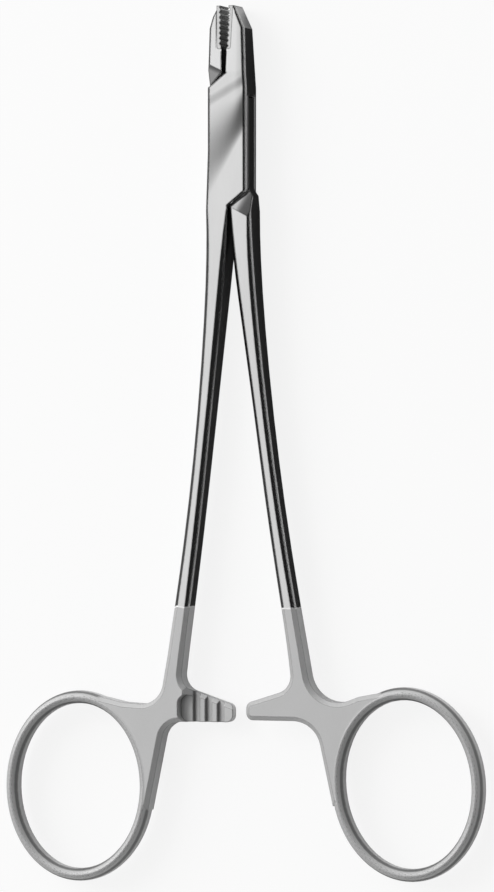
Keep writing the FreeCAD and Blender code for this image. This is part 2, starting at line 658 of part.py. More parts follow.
def box_half():
    """The left handle with the right jaw and the two plates of the box, one forging."""
    body = doc.addObject("PartDesign::Body", "box_half")
    body.Label = "box_half"
    web(body, "left", -1)
    ring(body, "left", -1)
    inner = f"(-({left_inner('neck_end')}))"
    bevels = ("lock_bevel", "crotch_bevel")
    neck = section(body, "left_neck_section", "neck_end", "(-left_neck_x)", inner, "neck_thickness", *bevels)
    shank(body, "left", -1, neck)
    half = "lock_width / 2"
    shoulder = jaw_thickness("jaw_shoulder")
    lock_block(body, "box", [
        ("-jaw_tip", f"-{half}", "right_jaw_tip_x", "jaw_tip_thickness", "jaw_bevel"),
        ("-jaw_shoulder", f"-{half}", "right_jaw_shoulder_x", shoulder, "lock_bevel"),
        ("-crotch_height", f"-{half}", "right_jaw_root_x", "lock_thickness", "lock_bevel"),
        ("-plate_corner", f"-{half}", half, "lock_thickness", "lock_bevel"),
        ("flare_start", f"-{half}", half, "lock_thickness", "lock_bevel"),
        ("neck_end", "-left_neck_x", half, "neck_thickness", "lock_bevel"),
    ])
    cut = new_sketch(body, "box_upper_outline", "XY_Plane")
    top = f"jaw_tip + {BEYOND}"
    corner = slope("plate_corner", f"-{WIDE}")
    outline(cut, [
        (f"-{WIDE}", corner),
        ("-crotch_offset", "crotch_height"),
        (grip_x(top), top),
        (f"-{WIDE}", top),
    ])
    pocket(body, "box_upper_cut", cut)
    cut = new_sketch(body, "box_lower_outline", "XY_Plane")
    outline(cut, [
        (WIDE, f"-{corner}"),
        ("crotch_offset", "-crotch_height"),
        (inner, "-neck_end"),
        (WIDE, "-neck_end"),
    ])
    pocket(body, "box_lower_cut", cut)
    slot = new_sketch(body, "box_slot_outline", "XY_Plane", ("0", "0", MIDDLE))
    outline(slot, [
        (WIDE, wall(WIDE)),
        ("-crotch_offset", "crotch_height"),
        (f"-{WIDE}", "crotch_height"),
        (f"-{WIDE}", f"-{wall(WIDE)}"),
        ("crotch_offset", "-crotch_height"),
        (WIDE, "-crotch_height"),
    ])
    pocket(body, "box_slot", slot, "lock_thickness - 2 * plate_thickness")
    lean = "atan((crotch_height - plate_corner) / (lock_width / 2 - crotch_offset))"
    edge = new_sketch(body, "plate_bevel_profile", "YZ_Plane", ("crotch_height", "0", "-crotch_offset"), lean,
                      (0, 1, 0))
    for face, out in (("lock_thickness", 1), ("0", -1)):
        outline(edge, [
            (f"-plate_edge_bevel - {BEYOND}", f"{face} + {out * BEYOND}"),
            (BEYOND, f"{face} + {out * BEYOND}"),
            (BEYOND, f"{face} - {out} * (plate_edge_bevel + {BEYOND})"),
        ])
    both_ends(body, "plate_bevels", pocket(body, "plate_bevel_cut", edge, side="One side"))
    pin_hole(body, "box", "pin_diameter / 2")
    insert_seat(body, "right_insert", 1)
    ratchet(body, "left", -1, front=1)
    return body


def tongue_half():
    """The right handle with the left jaw and the tongue between them, one forging."""
    body = doc.addObject("PartDesign::Body", "tongue_half")
    body.Label = "tongue_half"
    web(body, "right", 1)
    ring(body, "right", 1)
    inner = "(crotch_height * sin(closing_angle) + crotch_offset)"
    bevels = ("crotch_bevel", "lock_bevel")
    neck = section(body, "right_neck_section", "neck_end", inner, "right_neck_x", "neck_thickness", *bevels)
    shank(body, "right", 1, neck)
    half = "lock_width / 2"
    cheek = "(jaw_tip + jaw_shoulder) / 2"
    lock_block(body, "tongue", [
        ("-jaw_tip", "-left_jaw_tip_x", half, "jaw_tip_thickness", "jaw_bevel"),
        (f"-{cheek}", "-left_jaw_cheek_x", half, jaw_thickness(cheek), "(jaw_bevel + lock_bevel) / 2"),
        ("-jaw_shoulder", "-left_jaw_shoulder_x", half, jaw_thickness("jaw_shoulder"), "lock_bevel"),
        ("-crotch_height", "-left_jaw_root_x", half, "lock_thickness", "lock_bevel"),
        ("plate_corner - shoulder_flare", f"-{half}", half, "lock_thickness", "lock_bevel"),
        ("tongue_shoulder", f"-{half}", "tongue_shoulder_x", "lock_thickness", "lock_bevel"),
        ("neck_end", f"-{half}", "right_neck_x", "neck_thickness", "lock_bevel"),
    ])
    for part, room in (("upper", upper_room_of_right_jaw), ("lower", lower_room_of_left_shank)):
        cut = new_sketch(body, f"tongue_{part}_outline", "XY_Plane", turn="closing_angle")
        outline(cut, room("stop_clearance"))
        pocket(body, f"tongue_{part}_cut", cut)
    for part, level, backwards in (("front", TONGUE_TOP, True), ("back", TONGUE_BOTTOM, False)):
        cut = new_sketch(body, f"tongue_{part}_outline", "XY_Plane", ("0", "0", level), turn="closing_angle")
        outline(cut, room_of_plates("stop_clearance"))
        pocket(body, f"tongue_{part}_cut", cut, side="One side", backwards=backwards)
    facet = new_sketch(body, "facet_profile", "YZ_Plane", turn="-facet_turn", about=(0, 1, 0))
    for face, tongue, out in (("lock_thickness", TONGUE_TOP, 1), ("0", TONGUE_BOTTOM, -1)):
        outline(facet, [
            ("-facet_distance", face),
            ("-facet_distance + facet_run", tongue),
            ("-facet_distance + facet_run", f"{face} + {out}"),
            ("-facet_distance", f"{face} + {out}"),
        ])
    both_ends(body, "facets", pocket(body, "facet_cut", facet))
    pin_hole(body, "tongue", "pin_diameter / 2 + pin_clearance")
    insert_seat(body, "left_insert", -1)
    ratchet(body, "right", 1, front=-1)
    return body


def lock_rivet():
    """The rivet, ground flush with both plates."""
    rivet = doc.addObject("Part::Cylinder", "lock_rivet")
    rivet.Label = "lock_rivet"
    bind(rivet, "Radius", "pin_diameter / 2")
    bind(rivet, "Height", "lock_thickness")
    return rivet


pieces = [
    box_half(),
    tongue_half(),
    lock_rivet(),
    jaw_insert("right_jaw_insert", 1),
    jaw_insert("left_jaw_insert", -1),
]
doc.recompute()
failed = [item.Name for item in doc.Objects if "Invalid" in item.State or "Error" in item.State]
if failed:
    raise RuntimeError(f"these features failed: {failed}")
for piece in pieces:
    if piece.Shape.isNull() or not piece.Shape.isValid() or len(piece.Shape.Solids) != 1:
        raise RuntimeError(f"{piece.Label} is not one valid solid")
    piece.Shape.exportStep(f"parts/{piece.Label}.step")
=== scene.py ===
"""Wire twisting forceps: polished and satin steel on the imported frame, with its floor, light and camera."""

import math

import bmesh
import bpy
from mathutils import Matrix, Vector


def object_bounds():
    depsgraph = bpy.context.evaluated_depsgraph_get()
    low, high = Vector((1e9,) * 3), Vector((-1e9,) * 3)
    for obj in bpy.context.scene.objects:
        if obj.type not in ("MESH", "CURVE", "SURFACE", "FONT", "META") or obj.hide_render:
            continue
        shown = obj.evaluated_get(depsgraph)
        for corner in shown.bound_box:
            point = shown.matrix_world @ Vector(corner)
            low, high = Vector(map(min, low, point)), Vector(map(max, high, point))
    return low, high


bl_info = {
    "name": "Wire Twisting Forceps",
    "version": (1, 0, 0),
    "blender": (4, 5, 0),
    "location": "View3D > Sidebar > Forceps",
    "description": "Finishes the forceps' steel and carbide and sets its floor, light and camera",
    "category": "Object",
}

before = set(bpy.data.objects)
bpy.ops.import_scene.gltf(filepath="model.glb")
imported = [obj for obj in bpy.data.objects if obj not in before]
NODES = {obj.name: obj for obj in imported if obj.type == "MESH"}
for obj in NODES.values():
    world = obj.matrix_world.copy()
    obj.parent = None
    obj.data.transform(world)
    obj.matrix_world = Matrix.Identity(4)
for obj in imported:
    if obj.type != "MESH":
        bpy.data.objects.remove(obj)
CAD_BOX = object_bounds()
STEEL_NODES = ("box_half", "tongue_half", "lock_rivet")
CARBIDE_NODES = ("left_jaw_insert", "right_jaw_insert")
MIDDLE_Z = (CAD_BOX[0].z + CAD_BOX[1].z) / 2
MM = 0.001

PHOTO_WIDTH = 494
PHOTO_HEIGHT = 892
# Where the pivot lies in the photograph, in pixels from its upper left corner
PIVOT_ACROSS = 232
PIVOT_DOWN = 140

# Places on the forceps, from the pivot: X runs to the right and Y towards the jaws
RIVET_REACH = 1.6 * MM
SEAT_ACROSS = (-1.9 * MM, 1.3 * MM)
SEAT_HEIGHT = (15.0 * MM, 22.4 * MM)
SLOT_HEIGHT = (-9.8 * MM, 7.4 * MM)
UPPER_FACET_HEIGHT = (8.0 * MM, 14.5 * MM)
LOWER_FACET_HEIGHT = (-14.0 * MM, -9.0 * MM)
TIP_FOOT = 15.0 * MM

# Kinds of face, by a part of the true normal: Z for flats, flanks, facets and the carbide's serrated faces
# (painted shade), Y for the tip's slanted side (painted light)
FLAT_FACING = (0.80, 0.90)
FLANK_FACING = 0.3
FACET_FACING = (0.90, 0.97)
TIP_FACING = (0.2, 0.8)
CARBIDE_FACING = (0.5, 0.9)
# The X of the true normal: at most this on left flanks, which are painted lighter as lit, and where the satin
# turns from painted shade on the left to painted light on the right
LEFT_FACING = -0.1
SATIN_FACING = (-0.6, 0.6)
# The satin's steep sides: the Z up to which they get painted shade, and the X over which that fades to the
# right
STEEP_FACING = (0.25, 0.60)
STEEP_FADE = (-0.2, 0.25)

# The border of the two finishes wavers, and a bright line runs along it
BORDER_WAVER = 0.4 * MM
BORDER_BLUR = 0.1 * MM
LINE_HALF_WIDTH = (0.08 * MM, 0.18 * MM)
LINE_COLOUR = (0.92, 0.92, 0.92, 1)

# The rounding that a Bevel node gives: its samples, and its radius off the flats and on the satin
BEVEL_SAMPLES = 6
WIDER_ROUNDING = 2.0
NARROWER_ROUNDING = 0.7

# How far the rounded normal turns from the true one where an edge's painted shade line is full and where it
# ends
OUTLINE_TURN = (0.975, 0.9996)
# The painted shade line along the top of the upper facet: the direction across it, and where it fades in
RIM_ACROSS = (0.41, 0.91, 0)
RIM_FADE = (9.3 * MM, 10.2 * MM)
# The Z of the rounded normal where a bevel meets a flank, and how far from it the painted line fades out: a
# painted highlight above the border, painted shade on the satin
PAINTED_LINE_FACING = 0.38
PAINTED_LINE_FADE = (0.10, 0.22)

# How strongly painted shade covers the upper facet, the satin's edges and its steep sides
FACET_SHADE = 0.7
DRAWN_SHADE = 0.75
STEEP_SHADE = 0.65

# Noise scales per metre for each axis, and what the noise does to colour and roughness
WAVER_SCALE = (900, 900, 900)
GRAIN_SCALE = (5200, 260, 5200)
BLAST_SCALE = (7000, 7000, 7000)
HANDLING_SCALE = (160, 110, 160)
WAVE_SCALE = (150, 110, 150)
GRIT_SCALE = (6000, 6000, 6000)
GRAIN_DARKEST = 0.95
GRIT_DARKEST = 0.9
BLAST_SHADE = 0.1
POLISH_VARIATION = 0.08
SATIN_VARIATION = 0.12

# Troughs in the shading of the polished faces: the direction across each, the reach along that
# direction, and how deep it is
WIDE_ACROSS = (0.825, -0.565, 0)
WIDE_START = -2.2 * MM
WIDE_END = 2.0 * MM
WIDE_DEPTH = 0.8 * MM
# The wide trough spreads towards the left edge of the lock, above it and by this share also below
SPREAD_REACH = (-4.5 * MM, 3.5 * MM)
SPREAD_MOST = 3.6 * MM
SPREAD_BELOW = 0.25
NARROW_ACROSS = (0.491, -0.871, 0)
NARROW_REACH = (-8.1 * MM, -6.3 * MM)
NARROW_DEPTH = 0.12 * MM
SIDE_REACH = (1.5 * MM, 4.7 * MM)
SIDE_FADE = (3.0 * MM, 13.0 * MM)
SIDE_DEPTH = 0.17 * MM
FACET_ACROSS = (0.9, -0.4, 0)
FACET_REACH = (6.2 * MM, 12.6 * MM)
FACET_DEPTH = 1.3 * MM
# Heights of the finest relief
WAVE_HEIGHT = 0.06 * MM
SCRATCH_HEIGHT = 0.0015 * MM
GRIT_HEIGHT = 0.001 * MM

SATIN_METALLIC = 0.35
# What the ground steel mirrors at a low angle
GRAZING_COLOUR = (0.45, 0.45, 0.45, 1)
# The dark seam round the inserts: the rounding that finds it, the turn of the normal, and its colour
BRAZE_ROUNDING = 0.3 * MM
BRAZE_TURN = (0.88, 0.998)
BRAZE_COLOUR = (0.06, 0.06, 0.06, 1)
WHITE = (1, 1, 1, 1)
BLACK = (0, 0, 0, 1)

# How much of the floor is plain white to the camera, and to gloss and glass
CAMERA_WHITE = 0.86
GLOSS_WHITE = 0.08
FLOOR_ROUGHNESS = 0.9
FLOOR_HALF_WIDTH = 3.0
FLOOR_GAP = 0.1 * MM

# The room's bright side, how far round it the light fades, and its dimmest and brightest level
BRIGHT_SIDE = Vector((-0.94, 0.34, 0.0))
ROOM_FADE = (-0.12, 0.45)
ROOM_LEVEL = (0.12, 1.0)

KEY_PLACE = Vector((-0.80, 0.42, 0.55))
KEY_AIM = Vector((0, -0.05, 0))
KEY_WIDTH = 0.7
KEY_WATTS = 8

# What the camera sees, from near to far
CLIP_START = 0.05
CLIP_END = 20


class SteelSettings(bpy.types.PropertyGroup):
    """Colours, finishes and detail of the steel."""

    polished: bpy.props.FloatVectorProperty(
        name="Polished steel", description="Colour of the polished faces of jaws, lock and shanks",
        subtype="COLOR", default=(0.77, 0.77, 0.77), min=0, max=1)
    # Painted shade: the bevels and flanks are ground, and their near-black colour stands in for the shade and
    # dark reflections on them
    ground: bpy.props.FloatVectorProperty(
        name="Ground steel", description="Colour of the ground bevels and flanks above the border",
        subtype="COLOR", default=(0.095, 0.095, 0.095), min=0, max=1)
    # Painted shade: the satin gets this darker colour where it faces left
    satin: bpy.props.FloatVectorProperty(
        name="Satin steel", description="Colour of the satin handles where they face left",
        subtype="COLOR", default=(0.44, 0.44, 0.44), min=0, max=1)
    # Painted light: the satin gets this lighter colour where it faces right
    painted_light_satin: bpy.props.FloatVectorProperty(
        name="Lighter satin", description="Colour of the satin handles where they face right",
        subtype="COLOR", default=(0.80, 0.80, 0.80), min=0, max=1)
    polished_roughness: bpy.props.FloatProperty(
        name="Polish roughness", description="Roughness of the polished faces",
        subtype="FACTOR", default=0.17, min=0, max=1)
    ground_roughness: bpy.props.FloatProperty(
        name="Ground roughness", description="Roughness of the ground bevels and flanks",
        subtype="FACTOR", default=0.16, min=0, max=1)
    satin_roughness: bpy.props.FloatProperty(
        name="Satin roughness", description="Roughness of the satin handles",
        subtype="FACTOR", default=0.55, min=0, max=1)
    # Painted light: the ground flanks that face the light get this lighter colour
    left: bpy.props.FloatVectorProperty(
        name="Left flanks", description="Colour of the flanks that face the light",
        subtype="COLOR", default=(0.55, 0.55, 0.55), min=0, max=1)
    # Painted highlight: the flanks of the box's plates at the lock get this lighter colour
    plate: bpy.props.FloatVectorProperty(
        name="Plate flanks", description="Colour of the flanks of the box's two plates",
        subtype="COLOR", default=(0.60, 0.60, 0.60), min=0, max=1)
    # Painted shade: the tongue's flanks inside the box get this near-black colour
    inside: bpy.props.FloatVectorProperty(
        name="Inside steel", description="Colour of the tongue's flanks inside the box",
        subtype="COLOR", default=(0.08, 0.08, 0.08), min=0, max=1)
    # Painted shade: this colour darkens the edges of the flats, the top of the upper facet and the satin's
    # edges and steep sides
    outline: bpy.props.FloatVectorProperty(
        name="Edges", description="Colour of the dark line along edges",
        subtype="COLOR", default=(0.10, 0.10, 0.10), min=0, max=1)
    # Painted highlight: the bright line where a bevel meets a flank above the border
    painted_edge_line: bpy.props.FloatVectorProperty(
        name="Painted edge highlights", description="Colour of the bright line where a bevel meets a flank",
        subtype="COLOR", default=(0.80, 0.80, 0.80), min=0, max=1)
    border: bpy.props.FloatProperty(
        name="Finish border", description="Distance from the pivot to the border of the two finishes",
        subtype="DISTANCE", unit="LENGTH", default=0.0799)
    edge_radius: bpy.props.FloatProperty(
        name="Edge radius", description="Rounding that polishing leaves on every edge",
        subtype="DISTANCE", unit="LENGTH", default=0.00035)


class CarbideSettings(bpy.types.PropertyGroup):
    """Colour and finish of the jaw inserts."""

    ground: bpy.props.FloatVectorProperty(
        name="Ground carbide", description="Colour of the inserts",
        subtype="COLOR", default=(0.66, 0.66, 0.66), min=0, max=1)
    # Painted shade: the serrated faces of the inserts get this dark colour
    teeth: bpy.props.FloatVectorProperty(
        name="Teeth", description="Colour of the serrated faces",
        subtype="COLOR", default=(0.16, 0.16, 0.16), min=0, max=1)
    roughness: bpy.props.FloatProperty(
        name="Roughness", description="Roughness of the inserts",
        subtype="FACTOR", default=0.18, min=0, max=1)


class StageSettings(bpy.types.PropertyGroup):
    """Floor and camera."""

    floor: bpy.props.FloatVectorProperty(
        name="Floor", description="Colour of the floor", subtype="COLOR",
        default=(0.93, 0.93, 0.93), min=0, max=1)
    view_side: bpy.props.FloatProperty(
        name="View from the side", description="How far the camera stands to the forceps' right",
        subtype="ANGLE", unit="ROTATION", default=math.radians(20))
    distance: bpy.props.FloatProperty(
        name="Camera distance", description="From the camera to the forceps",
        subtype="DISTANCE", unit="LENGTH", default=0.85)
    pixels_per_metre: bpy.props.FloatProperty(
        name="Scale", description="Picture pixels per metre at the pivot", default=5846.7)


def node_tree(name):
    """A new material, its emptied tree and its output node."""
    material = bpy.data.materials.new(name)
    material.use_nodes = True
    tree = material.node_tree
    tree.nodes.clear()
    out = tree.nodes.new("ShaderNodeOutputMaterial")
    return material, tree, out


def add(tree, kind, inputs=None, **properties):
    """A node with its properties set and its inputs given as values or as sockets to link."""
    node = tree.nodes.new(kind)
    for name, value in properties.items():
        setattr(node, name, value)
    for name, value in (inputs or {}).items():
        if isinstance(value, bpy.types.NodeSocket):
            tree.links.new(value, node.inputs[name])
        else:
            node.inputs[name].default_value = value
    return node


def math_node(tree, operation, *values):
    """The result of a math operation."""
    return add(tree, "ShaderNodeMath", dict(enumerate(values)), operation=operation).outputs[0]


def times(tree, first, *others):
    """The product of two or more numbers."""
    for other in others:
        first = math_node(tree, "MULTIPLY", first, other)
    return first


def absolute(tree, value):
    """A number without its sign."""
    return math_node(tree, "ABSOLUTE", value)


def dot(tree, first, second):
    """The dot product of two vectors."""
    return add(tree, "ShaderNodeVectorMath", {0: first, 1: second}, operation="DOT_PRODUCT").outputs["Value"]


def axes(tree, vector):
    """A vector's X, Y and Z."""
    return add(tree, "ShaderNodeSeparateXYZ", {"Vector": vector}).outputs


def ramp(tree, value, low, high, start=0.0, end=1.0):
    """A smooth change from start to end as the value goes from low to high."""
    inputs = {"Value": value, "From Min": low, "From Max": high, "To Min": start, "To Max": end}
    return add(tree, "ShaderNodeMapRange", inputs, interpolation_type="SMOOTHSTEP").outputs["Result"]


def fade(tree, value, low, high):
    """A smooth fall from 1 to 0 as the value goes from low to high."""
    return ramp(tree, value, low, high, 1.0, 0.0)


def between(tree, value, low, high):
    """1 where the value lies between two limits, otherwise 0."""
    above = math_node(tree, "GREATER_THAN", value, low)
    return times(tree, above, math_node(tree, "LESS_THAN", value, high))


def blend(tree, factor, first, second):
    """A number between two others."""
    return add(tree, "ShaderNodeMix", {"Factor": factor, "A": first, "B": second}).outputs["Result"]


def tint(tree, factor, first, second):
    """A colour between two others."""
    return add(tree, "ShaderNodeMix", {"Factor": factor, "A": first, "B": second},
               data_type="RGBA").outputs["Result"]


def opaque(colour, share=1.0):
    """A colour setting as a socket takes it, darkened to a share of itself."""
    return (*(part * share for part in colour), 1)


def noise(tree, place, scale, detail=2.0, roughness=0.5):
    """Noise from 0 to 1, with a scale per metre for each axis."""
    stretch = add(tree, "ShaderNodeVectorMath", {0: place, 1: scale}, operation="MULTIPLY")
    inputs = {"Vector": stretch.outputs["Vector"], "Scale": 1.0, "Detail": detail, "Roughness": roughness}
    return add(tree, "ShaderNodeTexNoise", inputs).outputs["Fac"]


def varied(tree, marks, middle, spread):
    """A number that marks from 0 to 1 move about its middle."""
    return math_node(tree, "MULTIPLY_ADD", marks, spread, middle - spread / 2)


def bump(tree, height, distance, normal=None):
    """A normal raised by a height that runs from 0 to 1 over a distance."""
    inputs = {"Height": height, "Distance": distance, "Strength": 1.0}
    if normal:
        inputs["Normal"] = normal
    return add(tree, "ShaderNodeBump", inputs).outputs["Normal"]


class Face:
    """Where a point of a steel piece lies and which way its face looks, as sockets."""

    def __init__(self, tree):
        geometry = add(tree, "ShaderNodeNewGeometry").outputs
        self.place = add(tree, "ShaderNodeTexCoord").outputs["Object"]
        self.spot = axes(tree, self.place)
        self.normal = geometry["Normal"]
        self.true_normal = geometry["True Normal"]
        self.facing = axes(tree, self.true_normal)
        level = absolute(tree, self.facing["Z"])
        self.flat = ramp(tree, level, *FLAT_FACING)
        self.flank = math_node(tree, "LESS_THAN", level, FLANK_FACING)
        self.facet = between(tree, self.facing["Z"], *FACET_FACING)


def finish_border(tree, face, border):
    """1 above the border of the two finishes, and 1 on the bright line along it."""
    waver = noise(tree, face.place, WAVER_SCALE, 1.0)
    height = math_node(tree, "MULTIPLY_ADD", waver, BORDER_WAVER, face.spot["Y"])
    middle = BORDER_WAVER / 2 - border
    above = ramp(tree, height, middle - BORDER_BLUR, middle + BORDER_BLUR)
    line = absolute(tree, math_node(tree, "SUBTRACT", height, middle))
    return above, fade(tree, line, *LINE_HALF_WIDTH)


def joined(tree, face):
    """1 round the rivet and the inserts, where two flush pieces are ground as one face."""
    across, height = face.spot["X"], face.spot["Y"]
    pin = math_node(tree, "MULTIPLY_ADD", height, height, times(tree, across, across))
    pin = math_node(tree, "LESS_THAN", pin, RIVET_REACH ** 2)
    seat = times(tree, between(tree, across, *SEAT_ACROSS), between(tree, height, *SEAT_HEIGHT))
    return math_node(tree, "MAXIMUM", pin, seat)


def rounded_normal(tree, face, above, radius):
    """The normal with every edge rounded, but for the joins of flush pieces."""
    width = blend(tree, face.flat, radius * WIDER_ROUNDING, radius)
    width = blend(tree, above, radius * NARROWER_ROUNDING, width)
    rounded = add(tree, "ShaderNodeBevel", {"Radius": width}, samples=BEVEL_SAMPLES).outputs["Normal"]
    return add(tree, "ShaderNodeMix", {"Factor": joined(tree, face), "A": rounded, "B": face.normal},
               data_type="VECTOR").outputs["Result"]


def edge_lines(tree, face, rounded):
    """1 where painted shade darkens the edges of the flat faces and the top of the upper facet, and 1 on the
    painted line where a bevel meets a flank.
    """
    turned = dot(tree, rounded, face.true_normal)
    # Painted shade along the edges of the flat faces and along the top of the upper facet
    outline = times(tree, face.flat, fade(tree, turned, *OUTLINE_TURN))
    rim = times(tree, ramp(tree, dot(tree, face.place, RIM_ACROSS), *RIM_FADE), face.facet)
    outline = math_node(tree, "MAXIMUM", outline, rim)
    # The painted line where a bevel meets a flank: a painted highlight above the border, painted shade on the
    # satin
    leaning = math_node(tree, "SUBTRACT", absolute(tree, axes(tree, rounded)["Z"]), PAINTED_LINE_FACING)
    return outline, fade(tree, absolute(tree, leaning), *PAINTED_LINE_FADE)


def upper_colour(tree, face, settings, lock, grain, outline, painted_edge_line):
    """Polished faces with painted shade on the upper facet and along edges, and ground bevels and flanks
    painted near black as shade, with painted light on the flanks that face the light and on the tip's slanted
    side, the lock's colour on the flanks at the lock, and a painted highlight where a bevel meets a flank.
    """
    polished = tint(tree, grain, opaque(settings.polished, GRAIN_DARKEST), opaque(settings.polished))
    # Painted shade on the upper facet
    upper_facet = times(tree, face.facet, between(tree, face.spot["Y"], *UPPER_FACET_HEIGHT))
    shade = times(tree, upper_facet, FACET_SHADE)
    polished = tint(tree, shade, polished, opaque(settings.ground))
    polished = tint(tree, outline, polished, opaque(settings.outline))

    # Ground faces painted near black as shade, with a painted highlight where a bevel meets a flank
    ground = tint(tree, painted_edge_line, opaque(settings.ground), opaque(settings.painted_edge_line))
    # Painted light: the flanks that face the light are lighter
    left = times(tree, face.flank, math_node(tree, "LESS_THAN", face.facing["X"], LEFT_FACING))
    ground = tint(tree, left, ground, opaque(settings.left))
    colour = tint(tree, face.flat, ground, polished)

    # Flanks at the lock get the lock's colour: a painted highlight on the box's plates, painted shade on the
    # tongue inside the box
    slot = times(tree, face.flank, between(tree, face.spot["Y"], *SLOT_HEIGHT),
                 math_node(tree, "SUBTRACT", 1.0, left))
    colour = tint(tree, slot, colour, opaque(lock))
    # Painted light: the tip's slanted side gets the bright polished colour
    tip = times(tree, face.flank, math_node(tree, "GREATER_THAN", face.spot["Y"], TIP_FOOT),
                between(tree, face.facing["Y"], *TIP_FACING))
    return tint(tree, tip, colour, opaque(settings.polished))


def satin_colour(tree, face, settings, blast, outline, painted_edge_line):
    """Blasted satin, with painted light where it faces right, and painted shade where it faces left, on its
    steep sides and along its edges.
    """
    # Painted light on the satin faces that face right, painted shade on those that face left
    to_right = ramp(tree, face.facing["X"], *SATIN_FACING)
    colour = tint(tree, to_right, opaque(settings.satin), opaque(settings.painted_light_satin))
    colour = tint(tree, blast, colour, tint(tree, BLAST_SHADE, colour, BLACK))
    # Painted shade on the satin's steep sides
    steep = ramp(tree, absolute(tree, face.facing["Z"]), *STEEP_FACING, STEEP_SHADE, 0.0)
    steep = times(tree, steep, fade(tree, face.facing["X"], *STEEP_FADE))
    colour = tint(tree, steep, colour, opaque(settings.outline))
    # Painted shade along the satin's edges
    drawn = times(tree, math_node(tree, "MAXIMUM", outline, painted_edge_line), DRAWN_SHADE)
    return tint(tree, drawn, colour, opaque(settings.outline))


def hollows(tree, face, normal):
    """The normal with two troughs across the lock, one down its side and one in the lower facet."""
    across, height = face.spot["X"], face.spot["Y"]
    spread = ramp(tree, across, *SPREAD_REACH, SPREAD_MOST, 0.0)
    start = math_node(tree, "SUBTRACT", WIDE_START, spread)
    end = math_node(tree, "MULTIPLY_ADD", spread, SPREAD_BELOW, WIDE_END)
    wide = fade(tree, dot(tree, face.place, WIDE_ACROSS), start, end)
    normal = bump(tree, wide, WIDE_DEPTH, normal)

    narrow = fade(tree, dot(tree, face.place, NARROW_ACROSS), *NARROW_REACH)
    normal = bump(tree, narrow, NARROW_DEPTH, normal)

    side = times(tree, fade(tree, across, *SIDE_REACH), ramp(tree, height, *SIDE_FADE))
    normal = bump(tree, side, SIDE_DEPTH, normal)

    lower_facet = times(tree, face.facet, between(tree, height, *LOWER_FACET_HEIGHT),
                        fade(tree, dot(tree, face.place, FACET_ACROSS), *FACET_REACH))
    return bump(tree, lower_facet, FACET_DEPTH, normal)


def steel_material(name, settings, lock):
    """Polished and ground steel above the border, satin below it; lock colours the flanks at the lock, a
    painted highlight on the box and painted shade on the tongue.
    """
    material, tree, out = node_tree(name)
    face = Face(tree)
    above, line = finish_border(tree, face, settings.border)
    grain = noise(tree, face.place, GRAIN_SCALE, 3.0, 0.6)
    blast = noise(tree, face.place, BLAST_SCALE, 2.0, 0.6)
    handling = noise(tree, face.place, HANDLING_SCALE, 3.0, 0.55)
    waves = noise(tree, face.place, WAVE_SCALE, 1.0)
    rounded = rounded_normal(tree, face, above, settings.edge_radius)
    outline, painted_edge_line = edge_lines(tree, face, rounded)

    upper = upper_colour(tree, face, settings, lock, grain, outline, painted_edge_line)
    satin = satin_colour(tree, face, settings, blast, outline, painted_edge_line)
    colour = tint(tree, line, tint(tree, above, satin, upper), LINE_COLOUR)

    polished_rough = varied(tree, handling, settings.polished_roughness, POLISH_VARIATION)
    satin_rough = varied(tree, handling, settings.satin_roughness, SATIN_VARIATION)
    upper_rough = blend(tree, face.flat, settings.ground_roughness, polished_rough)

    # The dull ground faces also mirror less where they are seen at a low angle
    dull = times(tree, above, math_node(tree, "SUBTRACT", 1.0, face.flat))

    normal = bump(tree, waves, WAVE_HEIGHT, rounded)
    normal = hollows(tree, face, normal)
    normal = bump(tree, blend(tree, above, blast, grain), SCRATCH_HEIGHT, normal)

    shader = add(tree, "ShaderNodeBsdfPrincipled", {
        "Metallic": blend(tree, above, SATIN_METALLIC, 1.0),
        "Base Color": colour,
        "Roughness": blend(tree, above, satin_rough, upper_rough),
        "Specular Tint": tint(tree, dull, WHITE, GRAZING_COLOUR),
        "Normal": normal})
    tree.links.new(shader.outputs["BSDF"], out.inputs["Surface"])
    return material


def carbide_material(settings):
    """Ground grey carbide with the dark line of its braze round the edge and painted shade on its serrated
    faces.
    """
    material, tree, out = node_tree("forceps_carbide")
    place = add(tree, "ShaderNodeTexCoord").outputs["Object"]
    true_normal = add(tree, "ShaderNodeNewGeometry").outputs["True Normal"]
    grit = noise(tree, place, GRIT_SCALE, 2.0)
    rounded = add(tree, "ShaderNodeBevel", {"Radius": BRAZE_ROUNDING}, samples=BEVEL_SAMPLES)
    turned = dot(tree, rounded.outputs["Normal"], true_normal)
    flat = ramp(tree, absolute(tree, axes(tree, true_normal)["Z"]), *CARBIDE_FACING)

    colour = tint(tree, grit, opaque(settings.ground, GRIT_DARKEST), opaque(settings.ground))
    # Painted shade on the serrated faces
    colour = tint(tree, flat, opaque(settings.teeth), colour)
    colour = tint(tree, fade(tree, turned, *BRAZE_TURN), colour, BRAZE_COLOUR)
    shader = add(tree, "ShaderNodeBsdfPrincipled", {
        "Metallic": 1.0, "Base Color": colour, "Roughness": settings.roughness,
        "Normal": bump(tree, grit, GRIT_HEIGHT)})
    tree.links.new(shader.outputs["BSDF"], out.inputs["Surface"])
    return material


def give_material(piece, material):
    """The piece's only material."""
    piece.data.materials.clear()
    piece.data.materials.append(material)


class FORCEPS_OT_steel(bpy.types.Operator):
    """Gives both halves and the rivet their steel"""

    bl_idname = "forceps.steel"
    bl_label = "Steel halves and rivet"

    def execute(self, context):
        settings = context.scene.forceps_steel
        # The box's plate flanks at the lock get a painted highlight, the tongue's flanks in the box painted
        # shade
        steel = steel_material("forceps_steel", settings, settings.plate)
        tongue = steel_material("forceps_tongue_steel", settings, settings.inside)
        for name in STEEL_NODES:
            give_material(NODES[name], tongue if name == "tongue_half" else steel)
        return {"FINISHED"}


